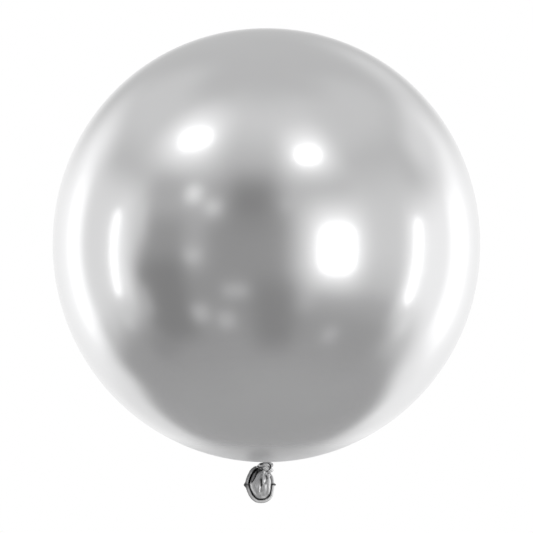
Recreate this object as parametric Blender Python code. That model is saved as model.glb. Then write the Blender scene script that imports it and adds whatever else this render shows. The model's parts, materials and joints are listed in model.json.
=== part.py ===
# Round latex balloon, 60 cm across, filled and tied off in an overhand knot.
# Metres, +Z up, origin at the middle of the envelope, the tail's front towards -Y.

import math

import bmesh
import bpy
import numpy as np
from mathutils import Matrix, Vector

# Envelope
BALLOON_RADIUS = 0.300
CROWN_HEIGHT = 0.3040
BASE_DEPTH = 0.3050
CROWN_FULLNESS = 2.03
BASE_FULLNESS = 2.0
WALL = 0.0006
CROWN_SPOT_RADIUS = 0.010
ENVELOPE_SEGMENTS = 40
ENVELOPE_RINGS = 24

# Throat, where the envelope gathers into the neck
GATHER_RADIUS = 0.012
THROAT_RADIUS = 0.0046
THROAT_DEPTH = 0.3054
GATHER_CURVE = 2.2
GATHER_RINGS = 4

# Neck
NECK_TOP = -0.3000
NECK_SHOULDER = -0.3030
NECK_FOOT_RADIUS = 0.0026
NECK_PLEATS = 8
NECK_SIDES = 32
PLEAT_DEPTH = 0.12

# Between any two pieces, and between points that count as one
RUNNING_GAP = 0.0003
WELD = 0.00001

SHARP_FROM = math.radians(50.0)

# Knot. The stretch is across, deep and high, in metres for each strand diameter.
KNOT_STRETCH = (0.0070, 0.0052, 0.0052)
KNOT_TURN = math.radians(50.0)
KNOT_LEAN = (0.32, 0.24)
KNOT_DEPTH = 0.3132
KNOT_RISE = 1.70
KNOT_FALL = 1.15
STRAND_FILL = 0.47
STRAND_SIDES = 12
KNOT_POINTS = 72

# Tying of the knot, in strand diameters
OPEN_REACH = 2.0
OPEN_SIZE = 0.75
OPEN_HEIGHT = 0.35
OPEN_SAMPLES = 400
STRAND_POINTS = 84
PULLS = 900
PULL = 0.03
PUSHES = 3
BEND_EASE = 0.35
END_CENTRING = 0.9
NEIGHBOUR_REACH = 1.8
STRAND_REACH = 2.6

# Tail
STEM_RADIUS = 0.0024
LIP_RADIUS = 0.0024
LIP_SIDES = 8
LIP_SAMPLES = 12
SKIRT_WALL = 0.0007
SKIRT_SEGMENTS = 48
SKIRT_ROWS = 12
DOME_ROWS = 3
DOME_TOP = math.radians(80.0)
SKIRT_PLEATS = 9
SKIRT_PLEAT_DEPTH = 0.0005
FLARE_ACROSS = 0.0100
FLARE_DEEP = 0.0050
FLARE_DROP = 0.0060
FLARE_LIFT = 0.0035
LEFT_SHOULDER = 0.0050
FRONT_BULGE = 0.35
REST_PULL = 0.35

# Middle line of the rolled lip, from its lowest point round by the right:
# across, towards the back, and up from the envelope's middle.
LIP_SHIFT = -0.00035
LIP_POINTS = [
    (-0.0070, -0.0076, -0.3602),
    (0.0005, -0.0074, -0.3583),
    (0.0050, -0.0066, -0.3540),
    (0.0076, -0.0054, -0.3490),
    (0.0088, -0.0038, -0.3430),
    (0.0094, -0.0019, -0.3370),
    (0.0092, 0.0011, -0.3305),
    (0.0076, 0.0055, -0.3255),
    (0.0035, 0.0088, -0.3227),
    (-0.0030, 0.0108, -0.3207),
    (-0.0090, 0.0108, -0.3182),
    (-0.0136, 0.0092, -0.3164),
    (-0.0176, 0.0066, -0.3174),
    (-0.0211, 0.0038, -0.3203),
    (-0.0243, 0.0014, -0.3243),
    (-0.0266, -0.0014, -0.3300),
    (-0.0278, -0.0034, -0.3365),
    (-0.0260, -0.0052, -0.3425),
    (-0.0225, -0.0064, -0.3485),
    (-0.0183, -0.0071, -0.3540),
    (-0.0130, -0.0076, -0.3586),
]


def clear_scene():
    for old in list(bpy.data.objects):
        bpy.data.objects.remove(old, do_unlink=True)


def chrome_latex(name, shade, roughness):
    material = bpy.data.materials.new(name)
    material.use_nodes = True
    shader = material.node_tree.nodes["Principled BSDF"]
    shader.inputs["Base Color"].default_value = (shade, shade, shade * 1.01, 1.0)
    shader.inputs["Metallic"].default_value = 1.0
    shader.inputs["Roughness"].default_value = roughness
    return material


def add_object(name, mesh, material, parent=None):
    # The mesh is in world positions; a child's own origin lies on its parent.
    mesh.name = name
    mesh.shade_smooth()
    mesh.set_sharp_from_angle(angle=SHARP_FROM)
    mesh.materials.append(material)
    item = bpy.data.objects.new(name, mesh)
    bpy.context.scene.collection.objects.link(item)
    if parent is not None:
        mesh.transform(Matrix.Translation(-parent.location))
        item.parent = parent
    return item


def finished_mesh(shape, name):
    bmesh.ops.recalc_face_normals(shape, faces=shape.faces)
    mesh = bpy.data.meshes.new(name)
    shape.to_mesh(mesh)
    shape.free()
    return mesh


def extruded_rows(rows, close_start=False, close_end=False):
    # A ring of edges on the first row, extruded to each further row in turn.
    shape = bmesh.new()
    sides = len(rows[0])
    ring = bmesh.ops.create_circle(shape, cap_ends=False, radius=1.0, segments=sides)["verts"]
    shape.verts.ensure_lookup_table()
    for vertex, point in zip(ring, rows[0]):
        vertex.co = point
    edges = list(shape.edges)
    if close_start:
        shape.faces.new(ring)
    for row in rows[1:]:
        grown = bmesh.ops.extrude_edge_only(shape, edges=edges)["geom"]
        edges = [part for part in grown if isinstance(part, bmesh.types.BMEdge)]
        ends = [part for part in grown if isinstance(part, bmesh.types.BMVert)]
        edges = [edge for edge in edges if all(v in ends for v in edge.verts)]
        ring = follow_ring(ring, ends)
        for vertex, point in zip(ring, row):
            vertex.co = point
    if close_end:
        shape.faces.new(ring)
    return shape


def follow_ring(ring, ends):
    # The new ring's vertices in the order of the ring that they grew from.
    grown = set(ends)
    return [next(e.other_vert(v) for e in v.link_edges if e.other_vert(v) in grown) for v in ring]


def envelope_profile():
    # Radius and height down the outside, from the crown spot to the end of the throat.
    top_angle = math.acos(CROWN_SPOT_RADIUS / BALLOON_RADIUS)
    low_angle = -math.acos(GATHER_RADIUS / BALLOON_RADIUS)
    profile = []
    upper_angles = np.linspace(top_angle, 0.0, ENVELOPE_RINGS // 2 + 1)
    lower_angles = np.linspace(0.0, low_angle, ENVELOPE_RINGS // 2 + 1)[1:]
    for angle in [*upper_angles, *lower_angles]:
        upper = angle > 0
        power = 2.0 / (CROWN_FULLNESS if upper else BASE_FULLNESS)
        radius = BALLOON_RADIUS * math.cos(angle) ** power
        reach = CROWN_HEIGHT if upper else -BASE_DEPTH
        profile.append((radius, reach * abs(math.sin(angle)) ** power))
    start_radius, start_height = profile[-1]
    for share in np.linspace(0.0, 1.0, GATHER_RINGS + 1)[1:]:
        radius = start_radius + (THROAT_RADIUS - start_radius) * share
        drop = (-THROAT_DEPTH - start_height) * share ** GATHER_CURVE
        profile.append((radius, start_height + drop))
    return profile


def build_envelope(material):
    # The outside profile is spun about +Z, then given its wall inwards.
    shape = bmesh.new()
    line = [shape.verts.new((radius, 0.0, height)) for radius, height in envelope_profile()]
    edges = [shape.edges.new(pair) for pair in zip(line, line[1:])]
    bmesh.ops.spin(shape, geom=line + edges, cent=(0, 0, 0), axis=(0, 0, 1), dvec=(0, 0, 0),
                   angle=2.0 * math.pi, steps=ENVELOPE_SEGMENTS, use_merge=True)
    bmesh.ops.remove_doubles(shape, verts=shape.verts, dist=WELD)
    crown = max(vertex.co.z for vertex in shape.verts)
    rim = [edge for edge in shape.edges
           if edge.is_boundary and all(v.co.z > crown - WALL for v in edge.verts)]
    bmesh.ops.edgeloop_fill(shape, edges=rim)
    envelope = add_object("envelope", finished_mesh(shape, "envelope"), material)
    add_wall(envelope, WALL)
    return envelope


def add_wall(item, thickness):
    # The wall grows inwards from the modelled outside.
    wall = item.modifiers.new("wall", "SOLIDIFY")
    wall.thickness = thickness
    wall.offset = -1.0


def even_spacing(points, count):
    steps = np.linalg.norm(np.diff(points, axis=0), axis=1)
    travel = np.concatenate([[0.0], np.cumsum(steps)])
    marks = np.linspace(0.0, travel[-1], count)
    return np.stack([np.interp(marks, travel, points[:, k]) for k in range(3)], axis=1)


def loose_overhand(count):
    # An open overhand knot along Z, as polynomials, in strand diameters.
    t = np.linspace(-OPEN_REACH, OPEN_REACH, OPEN_SAMPLES)
    across = 3.0 * t - t ** 3
    depth = t ** 4 - 4.0 * t ** 2 + 2.0
    height = (t ** 5 - 10.0 * t) * OPEN_HEIGHT
    return even_spacing(np.stack([across, depth, height], axis=1) * OPEN_SIZE, count)


def pushed_apart(points, apart):
    # Turns nearer than one diameter share the push that parts them.
    between = points[:, None] - points[None]
    distance = np.linalg.norm(between, axis=2)
    touching = (distance < 1.0) & apart
    half = (1.0 - distance) / 2.0 / np.where(touching, distance, 1.0)
    push = np.where(touching[..., None], between * half[..., None], 0.0).sum(axis=1)
    return points + push / np.maximum(touching.sum(axis=1), 1)[:, None]


def drawn_tight(points):
    # Both ends are pulled along Z while the turns push each other apart.
    index = np.arange(len(points))
    for _ in range(PULLS):
        moved = points.copy()
        moved[1:-1] += BEND_EASE * ((points[:-2] + points[2:]) / 2.0 - points[1:-1])
        upward = math.copysign(1.0, points[-1, 2] - points[0, 2])
        moved[0, 2] -= upward * PULL
        moved[-1, 2] += upward * PULL
        moved[[0, -1], :2] *= END_CENTRING
        step = np.linalg.norm(np.diff(moved, axis=0), axis=1).mean()
        apart = np.abs(index[:, None] - index[None]) * step > NEIGHBOUR_REACH
        for _ in range(PUSHES):
            moved = pushed_apart(moved, apart)
        kept = np.where(np.abs(moved[:, 2]) <= STRAND_REACH)[0]
        moved = moved[max(0, kept.min() - 1):kept.max() + 2]
        moved[[0, -1], 2] = np.clip(moved[[0, -1], 2], -STRAND_REACH, STRAND_REACH)
        points = even_spacing(moved, len(index))
    return points if points[0, 2] > points[-1, 2] else points[::-1]


def knot_line():
    # Middle line of the tied strand from the neck down to the tail, in strand diameters.
    line = drawn_tight(loose_overhand(STRAND_POINTS))
    line = line[(line[:, 2] <= KNOT_RISE) & (line[:, 2] >= -KNOT_FALL)]
    line = even_spacing(line, KNOT_POINTS)
    turned = line.copy()
    turned[:, 0] = line[:, 0] * math.cos(KNOT_TURN) - line[:, 1] * math.sin(KNOT_TURN)
    turned[:, 1] = line[:, 0] * math.sin(KNOT_TURN) + line[:, 1] * math.cos(KNOT_TURN)
    return turned


def knot_placing(line):
    # From strand diameters to metres: stretched, leaned to the left, and hung below the throat.
    across, deep, high = KNOT_STRETCH
    top = line[0]
    lean_across, lean_deep = KNOT_LEAN[0] * high, KNOT_LEAN[1] * high
    return Matrix((
        (across, 0.0, lean_across, -across * top[0] - lean_across * top[2]),
        (0.0, deep, lean_deep, -deep * top[1] - lean_deep * top[2]),
        (0.0, 0.0, high, -KNOT_DEPTH),
        (0.0, 0.0, 0.0, 1.0),
    ))


def bevelled_line(name, points, radius, sides, closed):
    # A round bar along a line, as a mesh.
    curve = bpy.data.curves.new(name, "CURVE")
    curve.dimensions = "3D"
    curve.bevel_depth = radius
    curve.bevel_resolution = sides // 2 - 2
    spline = curve.splines.new("POLY")
    spline.points.add(len(points) - 1)
    for place, point in zip(spline.points, points):
        place.co = (*point, 1.0)
    spline.use_cyclic_u = closed
    holder = bpy.data.objects.new(name, curve)
    bpy.context.scene.collection.objects.link(holder)
    graph = bpy.context.evaluated_depsgraph_get()
    raw = bpy.data.meshes.new_from_object(holder.evaluated_get(graph))
    bpy.data.objects.remove(holder, do_unlink=True)
    shape = bmesh.new()
    shape.from_mesh(raw)
    bmesh.ops.holes_fill(shape, edges=[edge for edge in shape.edges if edge.is_boundary])
    return finished_mesh(shape, name)


def build_knot(line, placing, material):
    mesh = bevelled_line("knot", line, STRAND_FILL, STRAND_SIDES, closed=False)
    mesh.transform(placing)
    for end, height in zip([line[0], line[-1]], [line[0][2], line[-1][2]]):
        middle = placing @ Vector(end)
        cap = min((p for p in mesh.polygons if len(p.vertices) == STRAND_SIDES),
                  key=lambda p: (p.center - middle).length)
        for index in cap.vertices:
            mesh.vertices[index].co.z = middle.z
    return add_object("knot", mesh, material)


def build_neck(top, material):
    # A pleated plug of skin from the knot's top end up into the throat.
    throat = THROAT_RADIUS - WALL - 2.0 * RUNNING_GAP
    rows = []
    for height, radius in [(top.z + RUNNING_GAP, NECK_FOOT_RADIUS),
                           (NECK_SHOULDER, throat), (NECK_TOP, throat)]:
        row = []
        for side in range(NECK_SIDES):
            angle = 2.0 * math.pi * side / NECK_SIDES
            fold = 1.0 - PLEAT_DEPTH * (0.5 - 0.5 * math.cos(angle * NECK_PLEATS))
            row.append((radius * fold * math.cos(angle), radius * fold * math.sin(angle), height))
        rows.append(row)
    shape = extruded_rows(rows, close_start=True, close_end=True)
    return add_object("neck", finished_mesh(shape, "neck"), material)


def lip_line(count):
    # A smooth closed curve through the lip's own points.
    knots = np.array(LIP_POINTS) + (0.0, LIP_SHIFT, 0.0)
    total = len(knots)
    line = []
    for mark in np.linspace(0.0, total, LIP_SAMPLES * total, endpoint=False):
        first = int(mark)
        t = mark - first
        p0, p1, p2, p3 = (knots[(first + k) % total] for k in (-1, 0, 1, 2))
        line.append(0.5 * (2.0 * p1 + (p2 - p0) * t
                           + (2.0 * p0 - 5.0 * p1 + 4.0 * p2 - p3) * t ** 2
                           + (3.0 * p1 - p0 - 3.0 * p2 + p3) * t ** 3))
    line = np.array(line + [line[0]])
    return even_spacing(line, count + 1)[:-1]


def build_lip(parent, material):
    mesh = bevelled_line("tail_lip", lip_line(SKIRT_SEGMENTS), LIP_RADIUS, LIP_SIDES, closed=True)
    return add_object("tail_lip", mesh, material, parent)


def skirt_rows(pivot):
    # Rows of points from the stem to the lip's edge, each row once round the tail.
    ring = lip_line(SKIRT_SEGMENTS)
    along = np.roll(ring, -1, axis=0) - np.roll(ring, 1, axis=0)
    along /= np.linalg.norm(along, axis=1)[:, None]
    rows = []
    for row in range(SKIRT_ROWS + 1):
        u = row / SKIRT_ROWS
        points = []
        for k, edge in enumerate(ring):
            around = 2.0 * math.pi * k / SKIRT_SEGMENTS
            out = np.array([math.sin(around), -math.cos(around), 0.0])
            stem = pivot + out * STEM_RADIUS
            spread = np.array([FLARE_ACROSS, FLARE_DEEP, 0.0]) * out
            lean = LEFT_SHOULDER * max(0.0, -out[0])
            lift = np.array([-lean, 0.0, FLARE_LIFT * abs(out[0]) - FLARE_DROP])
            shoulder = pivot + spread + lift
            towards = (shoulder - edge) / np.linalg.norm(shoulder - edge)
            towards = towards + (0.0, -FRONT_BULGE, 0.0)
            leave = towards - along[k] * np.dot(towards, along[k])
            leave /= np.linalg.norm(leave)
            rest = edge + (LIP_RADIUS + RUNNING_GAP) * leave
            drop = rest + REST_PULL * np.linalg.norm(shoulder - rest) * leave
            point = ((1 - u) ** 3 * stem + 3 * (1 - u) ** 2 * u * shoulder
                     + 3 * (1 - u) * u ** 2 * drop + u ** 3 * rest)
            fold = SKIRT_PLEAT_DEPTH * math.sin(math.pi * u) * math.cos(SKIRT_PLEATS * around)
            points.append(point + out * fold)
        rows.append(points)
    return rows


def build_skirt(parent, material):
    pivot = np.array(parent.location)
    rows = skirt_rows(pivot)
    dome = []
    for row in range(DOME_ROWS):
        angle = DOME_TOP * (1.0 - row / DOME_ROWS)
        rise = np.array([0.0, 0.0, STEM_RADIUS * math.sin(angle)])
        dome.append([pivot + (point - pivot) * math.cos(angle) + rise for point in rows[0]])
    shape = extruded_rows(dome + rows, close_start=True)
    skirt = add_object("tail_skirt", finished_mesh(shape, "tail_skirt"), material, parent)
    add_wall(skirt, SKIRT_WALL)
    return skirt


def build_balloon():
    clear_scene()
    skin = chrome_latex("chrome_latex_skin", 0.62, 0.18)
    gathered = chrome_latex("chrome_latex_gathered", 0.45, 0.22)
    rolled = chrome_latex("chrome_latex_rolled", 0.40, 0.25)
    line = knot_line()
    placing = knot_placing(line)
    build_envelope(skin)
    build_neck(placing @ Vector(line[0]), gathered)
    build_knot(line, placing, gathered)
    hinge = bpy.data.objects.new("tail_hinge", None)
    bpy.context.scene.collection.objects.link(hinge)
    strand_end = placing @ Vector(line[-1])
    hinge.location = strand_end - Vector((0.0, 0.0, RUNNING_GAP + STEM_RADIUS))
    bpy.context.view_layer.update()
    build_skirt(hinge, gathered)
    build_lip(hinge, rolled)


build_balloon()
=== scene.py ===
import json
import math
import bpy
import numpy as np
from mathutils import Matrix, Quaternion, Vector


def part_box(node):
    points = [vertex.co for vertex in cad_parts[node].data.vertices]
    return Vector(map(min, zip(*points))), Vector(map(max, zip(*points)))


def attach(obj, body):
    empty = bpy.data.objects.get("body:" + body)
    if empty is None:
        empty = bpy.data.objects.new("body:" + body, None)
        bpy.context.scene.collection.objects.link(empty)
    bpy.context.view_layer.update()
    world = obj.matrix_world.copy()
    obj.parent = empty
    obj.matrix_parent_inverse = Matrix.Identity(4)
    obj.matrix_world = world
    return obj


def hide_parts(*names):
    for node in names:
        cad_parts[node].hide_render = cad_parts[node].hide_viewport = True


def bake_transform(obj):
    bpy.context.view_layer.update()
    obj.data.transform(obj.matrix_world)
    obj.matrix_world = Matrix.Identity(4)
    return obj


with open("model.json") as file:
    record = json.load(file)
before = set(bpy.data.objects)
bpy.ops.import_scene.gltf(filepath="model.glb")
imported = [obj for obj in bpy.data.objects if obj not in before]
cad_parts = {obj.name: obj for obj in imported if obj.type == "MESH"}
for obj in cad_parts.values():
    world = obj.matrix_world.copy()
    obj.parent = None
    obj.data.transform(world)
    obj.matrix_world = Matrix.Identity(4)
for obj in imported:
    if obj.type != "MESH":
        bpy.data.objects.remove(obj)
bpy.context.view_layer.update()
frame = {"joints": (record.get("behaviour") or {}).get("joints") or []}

# Places read from the frame
envelopeLow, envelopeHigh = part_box("envelope")
hingePoint = Vector(frame["joints"][0]["pos_m"])
balloonRadius = (envelopeHigh.x - envelopeLow.x) / 2

millimetres = 1000.0     # in a metre
fullTurn = 2.0 * math.pi
frontGain = 2.0          # how quickly a mark comes up as the face turns to the front


# Small helpers for node trees
def addNode(tree, kind, values=None, **settings):
    node = tree.nodes.new(kind)
    for label, value in settings.items():
        setattr(node, label, value)
    for label, value in (values or {}).items():
        feed(tree, node.inputs[label], value)
    return node


def feed(tree, socket, value):
    if isinstance(value, bpy.types.NodeSocket):
        tree.links.new(value, socket)
    else:
        socket.default_value = value


def calc(tree, operation, *values):
    return addNode(tree, "ShaderNodeMath", dict(enumerate(values)), operation=operation).outputs[0]


def plus(tree, first, second):
    return calc(tree, "ADD", first, second)


def minus(tree, first, second):
    return calc(tree, "SUBTRACT", first, second)


def times(tree, first, second):
    return calc(tree, "MULTIPLY", first, second)


def clamped(tree, value, low=0.0):
    return addNode(tree, "ShaderNodeClamp", {"Value": value, "Min": low, "Max": 1.0}).outputs[0]


def fade(tree, value, fromLow, fromHigh, toLow=0.0, toHigh=1.0, smooth=True):
    return addNode(tree, "ShaderNodeMapRange", {
        "Value": value, "From Min": fromLow, "From Max": fromHigh, "To Min": toLow, "To Max": toHigh},
        interpolation_type="SMOOTHSTEP" if smooth else "LINEAR").outputs[0]


def mixTo(tree, kind, share, under, over, label=""):
    # The Mix node has separate sockets for numbers and for colours
    first, result = {"FLOAT": (2, 0), "RGBA": (6, 2)}[kind]
    mix = addNode(tree, "ShaderNodeMix", {0: share, first: under, first + 1: over},
                  data_type=kind, label=label)
    return mix.outputs[result]


def splitVector(tree, vector):
    return addNode(tree, "ShaderNodeSeparateXYZ", {"Vector": vector}).outputs


def scaled(tree, vector, size):
    return addNode(tree, "ShaderNodeVectorMath", {0: vector, "Scale": size}, operation="SCALE").outputs[0]


def noiseOn(tree, place, scale, detail=2.0, rough=0.5):
    return addNode(tree, "ShaderNodeTexNoise", {
        "Vector": place, "Scale": scale, "Detail": detail, "Roughness": rough}).outputs[0]


def waveRound(tree, turn, waves, height):
    return times(tree, calc(tree, "SINE", times(tree, turn, waves)), height)


def objectPlace(tree):
    return addNode(tree, "ShaderNodeTexCoord").outputs["Object"]


def distanceFromAxis(tree, split):
    return calc(tree, "SQRT", plus(tree, times(tree, split[0], split[0]), times(tree, split[1], split[1])))


def readAttribute(tree, name, kind="FLOAT"):
    return addNode(tree, "GeometryNodeInputNamedAttribute", {"Name": name}, data_type=kind).outputs[0]


def keepAttribute(tree, geometry, name, value, kind="FLOAT"):
    return addNode(tree, "GeometryNodeStoreNamedAttribute", {
        "Geometry": geometry, "Name": name, "Value": value}, data_type=kind, domain="POINT").outputs[0]


def startTree(name, sockets):
    tree = bpy.data.node_groups.new(name, "GeometryNodeTree")
    tree.interface.new_socket(name="Geometry", in_out="INPUT", socket_type="NodeSocketGeometry")
    kinds = {float: "NodeSocketFloat", int: "NodeSocketInt"}
    for label, value in sockets.items():
        kind = kinds.get(type(value), "NodeSocketMaterial")
        socket = tree.interface.new_socket(name=label, in_out="INPUT", socket_type=kind)
        if value is not None:
            socket.default_value = value
    tree.interface.new_socket(name="Geometry", in_out="OUTPUT", socket_type="NodeSocketGeometry")
    return tree, tree.nodes.new("NodeGroupInput").outputs


def endTree(tree, geometry, skin):
    real = addNode(tree, "GeometryNodeRealizeInstances", {"Geometry": geometry})
    smooth = addNode(tree, "GeometryNodeSetShadeSmooth", {"Geometry": real.outputs[0]})
    painted = addNode(tree, "GeometryNodeSetMaterial", {"Geometry": smooth.outputs[0], "Material": skin})
    tree.links.new(painted.outputs[0], tree.nodes.new("NodeGroupOutput").inputs[0])


# Small helpers for meshes and for lines of points
def growPiece(name, tree, values, seed=None):
    # Runs a tree with its named inputs, and keeps the result as a plain mesh
    source = bpy.data.objects.new(name + "Seed", seed or bpy.data.meshes.new(name + "Seed"))
    bpy.context.scene.collection.objects.link(source)
    modifier = source.modifiers.new("grow", "NODES")
    modifier.node_group = tree
    for item in tree.interface.items_tree:
        if item.in_out == "INPUT" and item.name in values:
            modifier[item.identifier] = values[item.name]
    ready = source.evaluated_get(bpy.context.evaluated_depsgraph_get())
    mesh = bpy.data.meshes.new_from_object(ready)
    mesh.name = name
    source.modifiers.remove(modifier)
    bpy.data.objects.remove(source)
    return showMesh(name, mesh)


def showMesh(name, mesh):
    piece = bpy.data.objects.new(name, mesh)
    bpy.context.scene.collection.objects.link(piece)
    print(name, len(mesh.polygons), "faces")
    return piece


def setAttribute(mesh, name, kind, values):
    attribute = mesh.attributes.new(name, kind, "POINT")
    field = "value" if kind == "FLOAT" else "vector"
    attribute.data.foreach_set(field, np.asarray(values, np.float32).reshape(-1))


def evenSpacing(points, count):
    steps = np.linalg.norm(np.diff(points, axis=0), axis=1)
    travel = np.concatenate([[0.0], np.cumsum(steps)])
    marks = np.linspace(0.0, travel[-1], count)
    return np.stack([np.interp(marks, travel, points[:, k]) for k in range(3)], axis=1)


def smoothThrough(points, perSpan, closed=False):
    # A smooth curve through each of the points
    points = np.array(points, float)
    total = len(points)
    line = []
    spans = total if closed else total - 1
    for mark in np.linspace(0.0, spans, perSpan * spans, endpoint=False):
        first = int(mark)
        t = mark - first
        around = [first - 1, first, first + 1, first + 2]
        around = [k % total for k in around] if closed else [min(max(k, 0), total - 1) for k in around]
        p0, p1, p2, p3 = points[around]
        line.append(0.5 * (2 * p1 + (p2 - p0) * t + (2 * p0 - 5 * p1 + 4 * p2 - p3) * t ** 2
                           + (3 * p1 - p0 - 3 * p2 + p3) * t ** 3))
    line.append(points[0] if closed else points[-1])
    return np.array(line)


def unit(vectors):
    return vectors / np.linalg.norm(vectors, axis=-1)[..., None]


def squareTo(away, along):
    return unit(away - along * np.sum(away * along, axis=1)[:, None])


def lineDirection(line, closed=False):
    if closed:
        return unit(np.roll(line, -1, axis=0) - np.roll(line, 1, axis=0))
    return unit(np.gradient(line, axis=0))


def sidewaysFrom(line, middle, closed=False):
    # The direction from a middle point to each point of a line, square to the line
    return squareTo(line - np.array(middle), lineDirection(line, closed))


def ramp(values, start, full):
    return np.clip((values - start) / (full - start), 0.0, 1.0)


def distanceTo(line, places):
    # Distance from each place to a broken line of (across, up), seen from the front, in millimetres
    across, up = places[..., 0] * millimetres, places[..., 2] * millimetres
    nearest = np.full(across.shape, np.inf)
    for (x0, z0), (x1, z1) in zip(line, line[1:]):
        dx, dz = x1 - x0, z1 - z0
        t = np.clip(((across - x0) * dx + (up - z0) * dz) / (dx * dx + dz * dz), 0.0, 1.0)
        nearest = np.minimum(nearest, np.hypot(across - x0 - t * dx, up - z0 - t * dz))
    return nearest


def nearLine(line, half, places, normals, sideShare):
    # 1 on the line, fading out beside it, and sideShare where the face looks to the side
    front = np.clip(sideShare - normals[..., 1] * frontGain, 0.0, 1.0)
    return np.exp(-(distanceTo(line, places) / half) ** 2) * front


# The camera, level with the balloon and far off, as in a catalogue picture
cameraView = {"distance": 3.752, "height": -0.0303, "across": 0.0001, "lens": 180.0, "sensor": 36.0}


def placeCamera(view):
    data = bpy.data.cameras.new("camera")
    data.lens = view["lens"]
    data.sensor_width = view["sensor"]
    camera = bpy.data.objects.new("camera", data)
    camera.location = (view["across"], -view["distance"], view["height"])
    camera.rotation_euler = (math.radians(90), 0, 0)
    bpy.context.scene.collection.objects.link(camera)
    bpy.context.scene.camera = camera


placeCamera(cameraView)
print("camera placed")


# Silver latex. shade and dark are its two greys, and grain is the scale of its fine mottle
latexFinish = {
    # clouds in its tone, a thicker spot at the crown, and more matt skin round the throat, with its colour
    # painted paler there to lift the dim reflection of the knot and tail
    "stretched": {
        "shade": 0.74, "dark": 0.64, "rough": 0.19, "roughSwing": 0.01, "grain": 260.0, "bump": 0.010,
        "clouds": 9.0, "cloudDetail": 3.0, "cloudShare": (0.86, 1.0), "grainShare": (-0.03, 0.03),
        "crownSpot": (0.014, 0.004), "crownThick": 0.4, "thickDark": 0.6, "thickRough": 0.08,
        "below": (0.0, -0.2), "mattReach": (0.150, 0.050), "mattRough": 0.45,
        "paintedPaleReach": (0.110, 0.060), "paintedPaleShade": 0.84,
    },
    # deep is the grey of the painted shade at the bottom of a fold or groove
    "gathered": {"shade": 0.88, "dark": 0.72, "rough": 0.26, "deep": 0.03, "grain": 900.0, "bump": 0.06},
    "slack": {"shade": 0.80, "dark": 0.60, "rough": 0.34, "deep": 0.02, "grain": 700.0, "bump": 0.06},
    "rolled": {"shade": 0.50, "dark": 0.36, "rough": 0.34, "deep": 0.03, "grain": 1100.0, "bump": 0.08},
}
# What the three folded kinds share: streaks along the folds, a mottle, and a painted highlight along ridges,
# pale and less metallic
foldFinish = {
    "streaks": 3.0, "streakDetail": 4.0, "streakRough": 0.6,
    "streakBand": (0.35, 0.65), "streakShare": (0.0, 0.9), "rougher": 0.05, "smoother": 0.03,
    "mottleShare": (-0.05, 0.1), "mottleBump": 0.25, "pale": 0.95, "highlightMatt": 0.8,
}
noiseBand = (0.3, 0.7)   # where most of a noise texture's values lie
darkTint = 1.01          # the greys lean a little to blue
lightTint = 1.008
bumpDistance = 0.001


def grey(level, tint=1.0):
    return (level, level, level * tint, 1.0)


def startMaterial(name, rough):
    material = bpy.data.materials.new(name)
    material.use_nodes = True
    tree = material.node_tree
    shader = tree.nodes["Principled BSDF"]
    shader.inputs["Roughness"].default_value = rough
    return material, tree, shader


def greyMix(tree, share, finish):
    return mixTo(tree, "RGBA", share, grey(finish["dark"], darkTint), grey(finish["shade"], lightTint))


def addBump(tree, shader, strength, height):
    bump = addNode(tree, "ShaderNodeBump", {"Strength": strength, "Distance": bumpDistance, "Height": height})
    feed(tree, shader.inputs["Normal"], bump.outputs[0])


def stretchedLatex(finish):
    material, tree, shader = startMaterial("stretchedSilverLatex", finish["rough"])
    place = objectPlace(tree)
    split = splitVector(tree, place)
    fromAxis = distanceFromAxis(tree, split)
    clouds = noiseOn(tree, place, finish["clouds"], finish["cloudDetail"])
    flakes = noiseOn(tree, place, finish["grain"])
    # thicker, darker skin at the crown spot
    thick = fade(tree, fromAxis, *finish["crownSpot"], 0.0, finish["crownThick"])
    even = fade(tree, clouds, *noiseBand, *finish["cloudShare"])
    fine = fade(tree, flakes, *noiseBand, *finish["grainShare"])
    share = minus(tree, plus(tree, even, fine), times(tree, thick, finish["thickDark"]))
    # and less stretched, more matt skin towards the throat, with its colour painted paler there to lift the
    # dim reflection of the knot and tail
    low = fade(tree, split[2], *finish["below"])
    pale = times(tree, fade(tree, fromAxis, *finish["paintedPaleReach"]), low)
    throat = times(tree, fade(tree, fromAxis, *finish["mattReach"], smooth=False), low)
    skin = mixTo(tree, "RGBA", pale, greyMix(tree, share, finish), grey(finish["paintedPaleShade"], darkTint))
    swing = fade(tree, clouds, *noiseBand, finish["rough"] + finish["roughSwing"],
                 finish["rough"] - finish["roughSwing"])
    extra = plus(tree, times(tree, thick, finish["thickRough"]), times(tree, throat, finish["mattRough"]))
    shader.inputs["Metallic"].default_value = 1.0
    feed(tree, shader.inputs["Base Color"], skin)
    feed(tree, shader.inputs["Roughness"], plus(tree, swing, extra))
    addBump(tree, shader, finish["bump"], flakes)
    return material


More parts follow.
